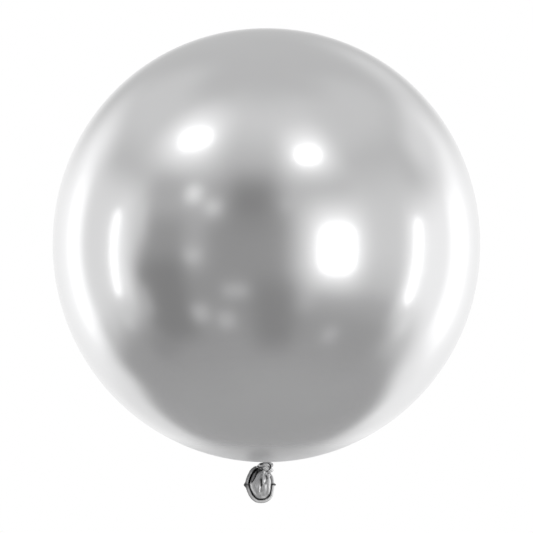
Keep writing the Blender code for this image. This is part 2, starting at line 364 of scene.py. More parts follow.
def foldedLatex(name, finish, folds):
    # Streaks run along the folds, on the grain attribute: round the strand and along it
    material, tree, shader = startMaterial(name, finish["rough"])
    grain = addNode(tree, "ShaderNodeAttribute", attribute_name="grain").outputs["Vector"]
    streaks = noiseOn(tree, grain, folds["streaks"], folds["streakDetail"], folds["streakRough"])
    mottle = noiseOn(tree, objectPlace(tree), finish["grain"])
    share = plus(tree, fade(tree, streaks, *folds["streakBand"], *folds["streakShare"]),
                 fade(tree, mottle, *noiseBand, *folds["mottleShare"]))
    # painted shade: darker where the shading attribute is above zero, in folds, along edges and in grooves
    paintedShading = addNode(tree, "ShaderNodeAttribute", attribute_name="paintedShading").outputs["Fac"]
    paintedShade = calc(tree, "MINIMUM", paintedShading, 1.0)
    skin = mixTo(tree, "RGBA", paintedShade, greyMix(tree, share, finish), grey(finish["deep"]))
    # and a painted highlight, pale and less metallic, where the attribute is below zero
    paintedHighlight = fade(tree, paintedShading, 0.0, -1.0, smooth=False)
    feed(tree, shader.inputs["Base Color"], mixTo(tree, "RGBA", paintedHighlight, skin, grey(folds["pale"])))
    feed(tree, shader.inputs["Metallic"], minus(tree, 1.0, times(tree, paintedHighlight, folds["highlightMatt"])))
    feed(tree, shader.inputs["Roughness"], fade(
        tree, streaks, *noiseBand, finish["rough"] + folds["rougher"], finish["rough"] - folds["smoother"]))
    addBump(tree, shader, finish["bump"], plus(tree, streaks, times(tree, mottle, folds["mottleBump"])))
    return material


stretchedSkin = stretchedLatex(latexFinish["stretched"])
gatheredSkin = foldedLatex("gatheredSilverLatex", latexFinish["gathered"], foldFinish)
slackSkin = foldedLatex("slackSilverLatex", latexFinish["slack"], foldFinish)
rolledSkin = foldedLatex("rolledSilverLatex", latexFinish["rolled"], foldFinish)
print("materials ready")


# The envelope: a turned skin, fuller above, with puckers where it gathers into the throat
envelopeShape = {
    "Radius": balloonRadius, "Crown Height": 0.3040, "Base Depth": 0.3050,
    "Crown Power": 0.985, "Base Power": 1.0, "Ring Packing": 1.6,
    "Gather Radius": 0.012, "Throat Radius": 0.0040, "Throat Drop": 0.0003, "Gather Curve": 2.2,
    "Pleats": 15.0, "Pleat Reach": 0.034, "Pleat Depth": 0.0002, "Pleat Fade": 3.0,
    # slow waves round the throat that shift the pleats, so that they are uneven
    "Broad Waves": 2.0, "Broad Shift": 1.1, "Narrow Waves": 5.0, "Narrow Shift": 0.7,
    "Segments": 256, "Rings": 220,
}


def envelopeTree(shape):
    tree, given = startTree("turnedSkin", dict(shape, Skin=None))
    ball = addNode(tree, "GeometryNodeMeshUVSphere", {
        "Segments": given["Segments"], "Rings": given["Rings"], "Radius": 1.0})
    where = splitVector(tree, addNode(tree, "GeometryNodeInputPosition").outputs[0])
    # the rings are moved closer together towards the throat
    share = calc(tree, "DIVIDE", calc(tree, "ARCCOSINE", clamped(tree, where[2], -1.0)), math.pi)
    left = calc(tree, "MAXIMUM", minus(tree, 1.0, share), 0.0)
    polar = times(tree, minus(tree, 1.0, calc(tree, "POWER", left, given["Ring Packing"])), math.pi)
    rise = calc(tree, "COSINE", polar)
    # above and below the widest line it has a height and a fullness of its own
    upper = calc(tree, "GREATER_THAN", rise, 0.0)
    lower = minus(tree, 1.0, upper)
    power = plus(tree, times(tree, upper, given["Crown Power"]), times(tree, lower, given["Base Power"]))
    reach = minus(tree, times(tree, upper, given["Crown Height"]), times(tree, lower, given["Base Depth"]))
    width = calc(tree, "MAXIMUM", calc(tree, "SINE", polar), 0.0)
    radius = times(tree, given["Radius"], calc(tree, "POWER", width, power))
    height = times(tree, reach, calc(tree, "POWER", calc(tree, "ABSOLUTE", rise), power))
    # the skin drops into the throat
    span = minus(tree, given["Gather Radius"], given["Throat Radius"])
    inside = clamped(tree, calc(tree, "DIVIDE", minus(tree, given["Gather Radius"], radius), span))
    drop = times(tree, calc(tree, "POWER", inside, given["Gather Curve"]), given["Throat Drop"])
    drop = times(tree, drop, lower)
    # uneven radial puckers that fade away from the throat
    turn = calc(tree, "ARCTAN2", where[1], where[0])
    uneven = plus(tree, waveRound(tree, turn, given["Broad Waves"], given["Broad Shift"]),
                  waveRound(tree, turn, given["Narrow Waves"], given["Narrow Shift"]))
    fold = calc(tree, "SINE", plus(tree, times(tree, turn, given["Pleats"]), uneven))
    near = clamped(tree, minus(tree, 1.0, calc(tree, "DIVIDE", radius, given["Pleat Reach"])))
    near = calc(tree, "POWER", near, given["Pleat Fade"])
    edge = clamped(tree, calc(tree, "DIVIDE", radius, given["Throat Radius"]))
    depth = times(tree, times(tree, near, edge), times(tree, lower, given["Pleat Depth"]))
    height = plus(tree, minus(tree, height, drop), times(tree, fold, depth))
    place = addNode(tree, "ShaderNodeCombineXYZ", {
        "X": times(tree, radius, calc(tree, "COSINE", turn)),
        "Y": times(tree, radius, calc(tree, "SINE", turn)), "Z": height}).outputs[0]
    moved = addNode(tree, "GeometryNodeSetPosition", {"Geometry": ball.outputs[0], "Position": place})
    endTree(tree, moved.outputs[0], given["Skin"])
    return tree


envelope = growPiece("stretched_skin", envelopeTree(envelopeShape), dict(envelopeShape, Skin=stretchedSkin))


# A pleated strand of latex swept along a path, with painted shade in its folds and along its sides. Each path
# point carries its own thickness, the shade or highlight painted there, and the direction in which its outer
# side looks
strandDefaults = {
    "Radius": 0.0026, "Folds": 9.0, "Fold Depth": 0.15, "Fold Waves": 2.0, "Fold Shift": 0.8, "Twist": 0.0,
    "Crinkle": 0.0, "Crinkle Scale": 300.0, "Grain Pace": 60.0, "Fold Dark": 0.5, "Edge Dark": 0.5,
    "Inner Dark": 0.0, "Valley Curve": 2.0, "Steps": 300, "Sides": 48, "Skin": None,
}
# Where its outer side, inner side and nubs start and are full: 1 looks straight outward, -1 inward
strandSides = {"outer": (0.55, 1.0), "inner": (-0.35, -0.85), "nub": (0.2, 1.0)}


def strandTree(sockets, sides):
    tree, given = startTree("pleatedStrand", sockets)
    path = addNode(tree, "GeometryNodeMeshToCurve", {"Mesh": given["Geometry"]})
    path = addNode(tree, "GeometryNodeResampleCurve", {"Curve": path.outputs[0], "Count": given["Steps"]})
    along = addNode(tree, "GeometryNodeSplineParameter").outputs
    tilt = times(tree, along["Factor"], given["Twist"])
    path = addNode(tree, "GeometryNodeSetCurveTilt", {"Curve": path.outputs[0], "Tilt": tilt})
    path = keepAttribute(tree, path.outputs[0], "run", along["Length"])
    # the section: a circle with folds
    ring = addNode(tree, "GeometryNodeCurvePrimitiveCircle", {"Resolution": given["Sides"], "Radius": 1.0})
    where = addNode(tree, "GeometryNodeInputPosition").outputs[0]
    split = splitVector(tree, where)
    turn = calc(tree, "ARCTAN2", split[1], split[0])
    wave = plus(tree, times(tree, turn, given["Folds"]),
                waveRound(tree, turn, given["Fold Waves"], given["Fold Shift"]))
    valley = minus(tree, 1.0, calc(tree, "ABSOLUTE", calc(tree, "SINE", times(tree, wave, 0.5))))
    size = times(tree, minus(tree, 1.0, times(tree, valley, given["Fold Depth"])), given["Radius"])
    ring = keepAttribute(tree, ring.outputs[0], "sideways", where, "FLOAT_VECTOR")
    ring = keepAttribute(tree, ring, "valley", valley)
    folded = scaled(tree, where, size)
    ring = addNode(tree, "GeometryNodeSetPosition", {"Geometry": ring, "Position": folded})
    swept = addNode(tree, "GeometryNodeCurveToMesh", {
        "Curve": path, "Profile Curve": ring.outputs[0], "Scale": readAttribute(tree, "thickness"),
        "Fill Caps": True})
    # one attribute for the streaks: round the strand, and slowly along it
    around = splitVector(tree, readAttribute(tree, "sideways", "FLOAT_VECTOR"))
    pace = times(tree, readAttribute(tree, "run"), given["Grain Pace"])
    grain = addNode(tree, "ShaderNodeCombineXYZ", {"X": around[0], "Y": around[1], "Z": pace}).outputs[0]
    skin = keepAttribute(tree, swept.outputs[0], "grain", grain, "FLOAT_VECTOR")
    # another for the painted shade: in the folds, along its outer and inner side, and the shade or highlight
    # painted along its path
    normal = addNode(tree, "GeometryNodeInputNormal").outputs[0]
    outward = readAttribute(tree, "outward", "FLOAT_VECTOR")
    facing = addNode(tree, "ShaderNodeVectorMath", {0: normal, 1: outward},
                     operation="DOT_PRODUCT").outputs["Value"]
    deep = calc(tree, "POWER", readAttribute(tree, "valley"), given["Valley Curve"])
    paintedShading = times(tree, deep, given["Fold Dark"])
    for side, dark in [("outer", "Edge Dark"), ("inner", "Inner Dark")]:
        paintedShading = plus(tree, paintedShading, times(tree, fade(tree, facing, *sides[side]), given[dark]))
    paintedShading = plus(tree, paintedShading, readAttribute(tree, "pinch"))
    skin = keepAttribute(tree, skin, "paintedShading", paintedShading)
    # small crosswise crinkles, and nubs where it is pinched
    noise = noiseOn(tree, addNode(tree, "GeometryNodeInputPosition").outputs[0], given["Crinkle Scale"])
    push = scaled(tree, normal, times(tree, minus(tree, noise, 0.5), given["Crinkle"]))
    nub = scaled(tree, outward, times(tree, readAttribute(tree, "nub"), fade(tree, facing, *sides["nub"])))
    both = addNode(tree, "ShaderNodeVectorMath", {0: push, 1: nub}, operation="ADD")
    crinkled = addNode(tree, "GeometryNodeSetPosition", {"Geometry": skin, "Offset": both.outputs[0]})
    endTree(tree, crinkled.outputs[0], given["Skin"])
    return tree


def strandValues(shape, skin):
    # The tree's inputs start with a capital, and the rest of the dictionary shapes the path
    given = {label: value for label, value in shape.items() if label[0].isupper()}
    return dict(strandDefaults, **given, Skin=skin)


def pathMesh(name, line, outward, thickness, pinch=0.0, nub=0.0, closed=False):
    mesh = bpy.data.meshes.new(name)
    edges = [(k, k + 1) for k in range(len(line) - 1)]
    if closed:
        edges.append((len(line) - 1, 0))
    mesh.from_pydata([tuple(p) for p in line], edges, [])
    for label, values in [("thickness", thickness), ("pinch", pinch), ("nub", nub)]:
        setAttribute(mesh, label, "FLOAT", np.broadcast_to(values, len(line)))
    setAttribute(mesh, "outward", "FLOAT_VECTOR", outward)
    return mesh


def paintFrontShading(mesh, marks, sideShare=0.3):
    # Paints shade, or below zero a highlight, onto the front of a piece along lines of (across, up) in
    # millimetres
    places, normals = np.zeros(len(mesh.vertices) * 3), np.zeros(len(mesh.vertices) * 3)
    mesh.vertices.foreach_get("co", places)
    mesh.vertices.foreach_get("normal", normals)
    places, normals = places.reshape(-1, 3), normals.reshape(-1, 3)
    paintedShading = np.zeros(len(mesh.vertices), np.float32)
    mesh.attributes["paintedShading"].data.foreach_get("value", paintedShading)
    for *line, half, shade in marks:
        paintedShading += shade * nearLine(line, half, places, normals, sideShare)
    mesh.attributes["paintedShading"].data.foreach_set("value", paintedShading)


pleatedStrand = strandTree(strandDefaults, strandSides)


# The knot: an overhand drawn tight, in strand diameters, then stretched, leaned and hung
knotShape = {
    "loosePoints": 84, "points": 72, "pathSteps": 5, "rise": 1.70, "fall": 1.15,
    "stretch": (0.0076, 0.0052, 0.0052), "turn": 50.0, "lean": (0.40, 0.24), "depth": 0.3127,
    # waves in its thickness (height, pace, start), and the thicker lobe at its right
    "swell": ((0.05, 31.0, 0.0), (0.04, 57.0, 1.0)), "lobe": 0.20, "lobeReach": 0.09,
    # its outer side looks away from a point behind its middle, and little to the front or back
    "outwardFrom": (0.0, 1.5, 0.0), "outwardWay": (1.0, 0.2, 1.0),
    "Radius": 0.50, "Folds": 9.0, "Fold Depth": 0.16, "Twist": 5.0, "Crinkle": 0.05, "Crinkle Scale": 2.4,
    "Grain Pace": 0.4, "Fold Dark": 0.5, "Edge Dark": 0.35, "Steps": 420, "Sides": 72,
}
# How it is drawn tight: rounds, how far the strand reaches up and down, the pull on its ends in a round,
# how much it straightens, how its ends come to the middle, and how far along it a turn counts as another
knotDrawing = {
    "rounds": 900, "reach": 2.6, "pull": 0.03, "straighten": 0.35, "ends": 0.9, "other": 1.8, "passes": 3,
}
# Painted shade, and below zero painted highlights, on its front, along lines of (across, up) in millimetres:
# half width, and darkness
knotPaintedShading = [
    ((-8.2, -308), (-5.4, -307.6), 1.1, 0.9),
    ((-11, -308.5), (-9.6, -310.8), (-6.6, -311.8), 0.9, -0.8),
    ((-12.7, -309.5), (-9.8, -312.8), (-5, -313.4), 0.8, 0.8),
    ((-0.5, -310.6), (0.6, -314.2), 2.8, -1.3),
    ((-3, -304.6), (3, -305), 1.2, -0.8),
    ((-13.8, -312.4), (-11.4, -314.4), (-8.2, -316), 0.8, -1.2),
    ((3, -307.2), (5.6, -309), (5.9, -311.6), (5.2, -313.9), (3.2, -316.5), (-0.8, -318.8), 0.8, 1.2),
    ((8.8, -311), (8.6, -315.5), (6.4, -319.5), 1.0, -0.8),
]


def looseOverhand(count, samples=400, tall=0.35, size=0.75):
    # An open overhand along Z, in strand diameters: the curve of the plain knot in polynomials
    t = np.linspace(-2.0, 2.0, samples)
    across = 3.0 * t - t ** 3
    depth = t ** 4 - 4.0 * t ** 2 + 2.0
    height = (t ** 5 - 10.0 * t) * tall
    return evenSpacing(np.stack([across, depth, height], axis=1) * size, count)


def drawnTight(points, drawing):
    # Both ends are pulled along Z while turns nearer than one diameter push apart
    count = len(points)
    index = np.arange(count)
    reach = drawing["reach"]
    for _ in range(drawing["rounds"]):
        moved = points.copy()
        moved[1:-1] += drawing["straighten"] * (0.5 * (points[:-2] + points[2:]) - points[1:-1])
        upward = 1.0 if points[-1, 2] > points[0, 2] else -1.0
        moved[0, 2] -= upward * drawing["pull"]
        moved[-1, 2] += upward * drawing["pull"]
        moved[[0, -1], :2] *= drawing["ends"]
        step = np.linalg.norm(np.diff(moved, axis=0), axis=1).mean()
        apart = np.abs(index[:, None] - index[None]) * step > drawing["other"]
        for _ in range(drawing["passes"]):
            between = moved[:, None] - moved[None]
            distance = np.linalg.norm(between, axis=2)
            touching = (distance < 1.0) & apart
            push = between / np.maximum(distance, 1e-6)[..., None] * ((1.0 - distance) * 0.5)[..., None]
            total = np.where(touching[..., None], push, 0.0).sum(axis=1)
            moved += total / np.maximum(touching.sum(axis=1), 1)[:, None]
        kept = np.where(np.abs(moved[:, 2]) <= reach)[0]
        moved = moved[max(0, kept.min() - 1):kept.max() + 2]
        moved[[0, -1], 2] = np.clip(moved[[0, -1], 2], -reach, reach)
        points = evenSpacing(moved, count)
    return points if points[0, 2] > points[-1, 2] else points[::-1]


def knotLine(shape):
    line = drawnTight(looseOverhand(shape["loosePoints"]), knotDrawing)
    line = evenSpacing(line[(line[:, 2] <= shape["rise"]) & (line[:, 2] >= -shape["fall"])], shape["points"])
    angle = math.radians(shape["turn"])
    turned = line.copy()
    turned[:, 0] = line[:, 0] * math.cos(angle) - line[:, 1] * math.sin(angle)
    turned[:, 1] = line[:, 0] * math.sin(angle) + line[:, 1] * math.cos(angle)
    return turned


def knotPlacing(shape, top):
    across, deep, high = shape["stretch"]
    leanAcross, leanDeep = shape["lean"][0] * high, shape["lean"][1] * high
    return Matrix(((across, 0, leanAcross, -across * top[0] - leanAcross * top[2]),
                   (0, deep, leanDeep, -deep * top[1] - leanDeep * top[2]),
                   (0, 0, high, -shape["depth"]), (0, 0, 0, 1)))


def buildKnot(shape, marks):
    line = smoothThrough(knotLine(shape), shape["pathSteps"])
    share = np.linspace(0.0, 1.0, len(line))
    lobe = share[np.argmax(line[:, 0])]
    swell = 1.0
    for height, pace, start in shape["swell"]:
        swell = swell + height * np.sin(share * pace + start)
    swell += shape["lobe"] * np.exp(-((share - lobe) / shape["lobeReach"]) ** 2)
    outward = sidewaysFrom(line, line.mean(axis=0) + np.array(shape["outwardFrom"]))
    outward = unit(outward * np.array(shape["outwardWay"]))
    seed = pathMesh("knotPath", line, outward, swell)
    piece = growPiece("tied_strand", pleatedStrand, strandValues(shape, gatheredSkin), seed)
    piece.data.transform(knotPlacing(shape, line[0]))
    paintFrontShading(piece.data, marks)
    return piece


knot = buildKnot(knotShape, knotPaintedShading)


# The neck: a short pleated collar that runs out of the throat into the knot
neckShape = {
    "top": -0.3030, "foot": -0.3085, "throat": 0.0052, "flareCurve": 1.5, "drift": -0.0010, "points": 24,
    "Radius": 0.0030, "Folds": 11.0, "Fold Depth": 0.22, "Twist": 0.5, "Crinkle": 0.0002,
    "Crinkle Scale": 420.0, "Fold Dark": 0.4, "Edge Dark": 0.0, "Steps": 60, "Sides": 88,
}


def buildNeck(shape):
    drop = np.linspace(0.0, 1.0, shape["points"])
    height = shape["top"] + (shape["foot"] - shape["top"]) * drop
    line = np.stack([shape["drift"] * drop ** 2, 0 * drop, height], axis=1)
    flare = 1.0 + (shape["throat"] / shape["Radius"] - 1.0) * (1.0 - drop) ** shape["flareCurve"]
    outward = np.tile([1.0, 0.0, 0.0], (len(line), 1))
    seed = pathMesh("neckPath", line, outward, flare)
    return growPiece("pleated_neck", pleatedStrand, strandValues(shape, gatheredSkin), seed)


neck = buildNeck(neckShape)


# The rolled lip round the tail's mouth, from behind the knot round by the left:
# across, towards the back, and up from the envelope's middle
lipShape = {
    "points": [
        (-0.0030, 0.0105, -0.3196), (-0.0088, 0.0106, -0.3156), (-0.0134, 0.0092, -0.3136),
        (-0.0174, 0.0066, -0.3150), (-0.0209, 0.0037, -0.3184), (-0.0236, 0.0013, -0.3232),
        (-0.0258, -0.0012, -0.3279), (-0.0271, -0.0029, -0.3326), (-0.0276, -0.0040, -0.3371),
        (-0.0262, -0.0054, -0.3423), (-0.0243, -0.0063, -0.3475), (-0.0217, -0.0071, -0.3526),
        (-0.0173, -0.0077, -0.3573), (-0.0126, -0.0079, -0.3600), (-0.0062, -0.0079, -0.3605),
        (-0.0006, -0.0078, -0.3593), (0.0039, -0.0071, -0.3564), (0.0070, -0.0060, -0.3526),
        (0.0083, -0.0049, -0.3466), (0.0090, -0.0034, -0.3406), (0.0091, -0.0016, -0.3350),
        (0.0083, 0.0014, -0.3300), (0.0069, 0.0050, -0.3262), (0.0034, 0.0084, -0.3224),
    ],
    "pathSteps": 12, "pathPoints": 240,
    # pinched places: where, half length, how far it sticks out, and the painted shade there, or painted
    # highlight below zero
    "pinches": [((-0.0276, -0.3373), 0.0020, 0.0019, 0.7), ((0.0092, -0.3373), 0.0012, 0.0026, 0.9)],
    # a painted highlight at its upper left, as on the knot
    "marks": [((-13.8, -312.4), (-11.4, -314.4), (-8.2, -316), 0.8, -3.2)],
    # thickness at the left and at the right, and the waves in it
    "thick": (0.98, 0.80), "halfWidth": 0.018, "swell": (0.03, 7.0),
    # a painted highlight on its lit side: it gets paler between these two places across, along a slope
    "pale": (-0.026, 0.004), "paleSlope": 0.6,
    "Radius": 0.0025, "Folds": 5.0, "Fold Depth": 0.10, "Crinkle": 0.0003, "Crinkle Scale": 350.0,
    "Fold Dark": 0.35, "Edge Dark": 0.55, "Inner Dark": 2.0, "Steps": 420, "Sides": 64,
}
lipLine = smoothThrough(lipShape["points"], lipShape["pathSteps"], closed=True)
lipLine = evenSpacing(lipLine, lipShape["pathPoints"] + 1)[:-1]
lipMiddle = lipLine.mean(axis=0)


def buildLip(shape):
    left, right = shape["thick"]
    height, waves = shape["swell"]
    share = np.linspace(0.0, fullTurn, len(lipLine), endpoint=False)
    toLeft = np.clip((lipLine[:, 0] - lipMiddle[0]) / -shape["halfWidth"], -1.0, 1.0) * 0.5 + 0.5
    swell = right + (left - right) * toLeft + height * np.sin(share * waves)
    # painted highlight: the side that the lamps light, at the lower right, is painted pale
    lit = lipLine[:, 0] - (lipLine[:, 2] - lipMiddle[2]) * shape["paleSlope"]
    pinch = -ramp(lit, *shape["pale"])
    nub = np.zeros(len(lipLine))
    for place, reach, out, dark in shape["pinches"]:
        near = np.exp(-(np.hypot(lipLine[:, 0] - place[0], lipLine[:, 2] - place[1]) / reach) ** 2)
        nub = nub + out * near
        pinch = pinch * (1.0 - near) + dark * near
    outward = sidewaysFrom(lipLine, lipMiddle, closed=True)
    seed = pathMesh("lipPath", lipLine, outward, swell, pinch, nub, closed=True)
    piece = growPiece("rolled_lip", pleatedStrand, strandValues(shape, rolledSkin), seed)
    paintFrontShading(piece.data, shape["marks"])
    return piece


lip = buildLip(lipShape)


# The slack skirt between the knot and the lip: one thin wall, pillowed towards the front
skirtShape = {
    # the stem below the knot, closed over its first rows
    "stem": 0.0033, "stemTop": 0.0036, "stemPleat": 0.0004, "stemFade": 4, "stemRows": 10, "solidRows": 3,
    # how it flares to its shoulders, and how far it bulges to the front
    "flareAcross": 0.0100, "flareDeep": 0.0050, "flareDrop": 0.0060, "flareLift": 0.0035,
    "leftShoulder": 0.0050, "bulge": 0.85, "frontShare": 0.25, "pull": 0.42,
    "wall": 0.0005, "rows": 110, "sides": 320, "wave": 0.0002, "waves": 9.0,
    # where it meets the lip: the bed it lies in, the groove before it, and the painted shadow in that groove,
    # in millimetres
    "bed": 0.0012, "groove": 0.0031, "grooveRows": 8, "grooveShade": (4.6, 3.5), "grooveShadeDeep": (8.0, 4.5),
    "grooveShadeFrom": (0.4, 0.6), "grooveShadeBehind": 0.007, "grooveShadeDark": 0.9,
    # grain sizes, the share of painted shade on its inner side, and how much a painted mark shows where the
    # face looks to the side
    "grainRound": 3.0, "grainAlong": 40.0, "insideDark": 0.5, "sideShare": 0.2,
}
# Folds in its front, along lines of (across, up) in millimetres: half width and height, and painted shade, or
# painted highlight below zero
skirtFoldsAndShading = [
    ((-9.4, -318.1), (-12.7, -320.4), (-15, -323.2), (-16.6, -327), (-18.9, -330.4), (-21, -333.2),
     1.2, -1.2, 0.95),
    ((-11.5, -317.5), (-16, -320.6), (-19, -325), (-21.5, -330.5), 1.2, 0.4, 0.62),
    ((-13.3, -316.2), (-17.7, -319.8), (-21.1, -323), (-23.4, -328), (-24, -333), 1.2, -1.0, 1.0),
    ((-9.9, -320.7), (-13.3, -324.2), (-16.1, -329.7), (-19.4, -335.3), 1.5, 0.45, 0.0),
    ((-6.3, -323.4), (-7.2, -328.5), (-7.4, -333.2), (-7.2, -338.7), (-8, -344.6), 1.7, -0.5, 0.5),
    ((-7.3, -329.8), (-7.4, -337.2), 2.0, -0.2, 0.6),
    ((-5.2, -321), (-4.6, -328), (-4.9, -335), 1.6, 1.0, 0.0),
    ((-0.4, -323), (1, -327.2), (-0.3, -331), (-2.2, -334.3), 1.6, -0.8, 0.45),
    ((0.2, -324.6), (0.9, -328), 1.4, -0.2, 0.55),
    ((2.9, -323), (3.3, -333.2), (3.7, -341.5), (2.4, -348.7), 1.4, 0.9, -0.5),
    ((0.9, -337.5), (0.2, -343), (1.2, -349), 1.3, -0.05, 0.15),
    ((-2.6, -344), (-1, -350), 1.6, -0.1, 0.12),
    ((-16.5, -338), (-15.2, -343.5), (-12.5, -348), 1.3, -0.4, 0.12),
    ((-21.8, -336), (-20.9, -340.5), (-19.2, -344.6), (-15.8, -349.6), 1.1, 0.6, -2.2),
    ((-9.2, -348.6), (-7.4, -349), 1.6, 0.0, -0.7),
    ((-5.4, -354.2), (-1.6, -354.6), 1.9, 0.0, -1.0),
    ((5.6, -326), (6.6, -330), (7.3, -334.5), 0.8, -0.3, 1.0),
]


def skirtSheet(shape):
    # Rows of points from the top of the stem to the middle of the lip's roll, once round each
    pivot = np.array(hingePoint)
    ring = np.roll(lipLine, -np.argmin(lipLine[:, 2]), axis=0)
    places = np.linspace(0, len(ring), shape["sides"], endpoint=False)
    edges = np.stack([np.interp(places, np.arange(len(ring) + 1), np.append(ring[:, k], ring[0, k]))
                      for k in range(3)], axis=1)
    inward = -sidewaysFrom(edges, lipMiddle, closed=True)
    bed = edges + shape["bed"] * inward
    foot = edges + shape["groove"] * inward
    around = np.linspace(0.0, fullTurn, shape["sides"], endpoint=False)
    out = np.stack([np.sin(around), -np.cos(around), np.zeros_like(around)], axis=1)
    stem = pivot + out * shape["stem"]
    spread = out * np.array([shape["flareAcross"], shape["flareDeep"], 0.0])
    lean = shape["leftShoulder"] * np.maximum(0.0, -out[:, 0])
    lift = np.stack([-lean, 0 * lean, shape["flareLift"] * np.abs(out[:, 0]) - shape["flareDrop"]], axis=1)
    shoulder = pivot + spread + lift
    # it leaves the lip towards the shoulder, square to the lip, and bulges at the front
    length = np.linalg.norm(shoulder - foot, axis=1)[:, None]
    towards = (shoulder - foot) / length
    front = np.clip(0.5 + 0.5 * np.cos(around) + shape["frontShare"], 0.0, 1.0)
    towards[:, 1] -= shape["bulge"] * front
    drop = foot + shape["pull"] * length * squareTo(towards, lineDirection(edges, closed=True))
    rows = []
    for row in range(shape["stemRows"]):
        rise = shape["stemTop"] * (1.0 - row / shape["stemRows"])
        rows.append(stem + np.array([0.0, 0.0, rise]))
    for row in range(shape["rows"] + 1):
        u = row / shape["rows"]
        rows.append((1 - u) ** 3 * stem + 3 * (1 - u) ** 2 * u * shoulder
                    + 3 * (1 - u) * u ** 2 * drop + u ** 3 * foot)
    for u in np.linspace(0.0, 1.0, shape["grooveRows"] + 1)[1:]:
        rows.append(foot + (bed - foot) * u)
    return np.array(rows), edges, around


def skirtLiftAndShading(shape, folds, rows, edges, normals, around):
    # How far each point is lifted along its normal, and how much shade, or highlight below zero, is painted
    # on it
    u = np.clip((np.arange(len(rows)) - shape["stemRows"]) / shape["rows"], 0.0, 1.0)[:, None]
    height = shape["wave"] * np.sin(math.pi * u) + shape["stemPleat"] * (1.0 - u) ** shape["stemFade"]
    lift = np.sin(around * shape["waves"])[None] * height
    # painted shadow in the groove between the skirt and the front of the lip
    ring = [(point[0] * millimetres, point[2] * millimetres)
            for point in lipLine if point[1] < shape["grooveShadeBehind"]]
    along = np.linalg.norm(rows - edges[None], axis=2) * millimetres
    dark = ramp(distanceTo(ring, rows), *shape["grooveShade"]) * ramp(along, *shape["grooveShadeDeep"])
    dark = dark * ramp(u, *shape["grooveShadeFrom"]) * shape["grooveShadeDark"]
    for *line, half, height, shade in folds:
        near = nearLine(line, half, rows, normals, shape["sideShare"])
        lift = lift + near * height / millimetres
        dark = dark + near * shade
    return lift, dark


def buildSkirt(shape, folds):
    rows, edges, around = skirtSheet(shape)
    down = np.gradient(rows, axis=0)
    across = np.roll(rows, -1, axis=1) - np.roll(rows, 1, axis=1)
    normals = unit(np.cross(across, down))
    if np.sum(normals[0] * (rows[0] - rows[0].mean(axis=0))) < 0:
        normals = -normals
    lift, dark = skirtLiftAndShading(shape, folds, rows, edges, normals, around)
    folded = rows + normals * lift[..., None]
    thickness = normals * shape["wall"] / 2
    shell = outAndBack(shape, folded + thickness, folded - thickness)
    sides = shape["sides"]
    faces = []
    for start in range(0, (len(shell) - 1) * sides, sides):
        for k in range(sides):
            after = (k + 1) % sides
            faces.append((start + k, start + after, start + sides + after, start + sides + k))
    last = (len(shell) - 1) * sides
    faces.append(tuple(range(sides)))
    faces.append(tuple(range(last + sides - 1, last - 1, -1)))
    mesh = bpy.data.meshes.new("slack_skirt")
    mesh.from_pydata([tuple(p) for p in shell.reshape(-1, 3)], [], faces)
    travel = np.cumsum(np.linalg.norm(np.diff(rows, axis=0, prepend=rows[:1]), axis=2), axis=0)
    grain = np.zeros(shell.shape)
    grain[..., 0] = np.sin(around) * shape["grainRound"]
    grain[..., 1] = np.cos(around) * shape["grainRound"]
    grain[..., 2] = outAndBack(shape, travel, travel) * shape["grainAlong"]
    setAttribute(mesh, "grain", "FLOAT_VECTOR", grain)
    setAttribute(mesh, "paintedShading", "FLOAT", outAndBack(shape, dark, dark * shape["insideDark"]))
    turnOutwards(mesh)
    mesh.shade_smooth()
    mesh.materials.append(slackSkin)
    return showMesh("slack_skirt", mesh)


def outAndBack(shape, outside, inside):
    # Rows down the outside and up the inside again, as far as the solid top of the stem
    return np.concatenate([outside, inside[::-1][:-shape["solidRows"]]])


def turnOutwards(mesh):
    # A closed body encloses a positive volume when its faces point outwards
    mesh.calc_loop_triangles()
    points = np.array([v.co for v in mesh.vertices])
    corners = np.array([t.vertices for t in mesh.loop_triangles])
    a, b, c = points[corners[:, 0]], points[corners[:, 1]], points[corners[:, 2]]
    if np.sum(a * np.cross(b, c)) < 0:
        mesh.flip_normals()


skirt = buildSkirt(skirtShape, skirtFoldsAndShading)


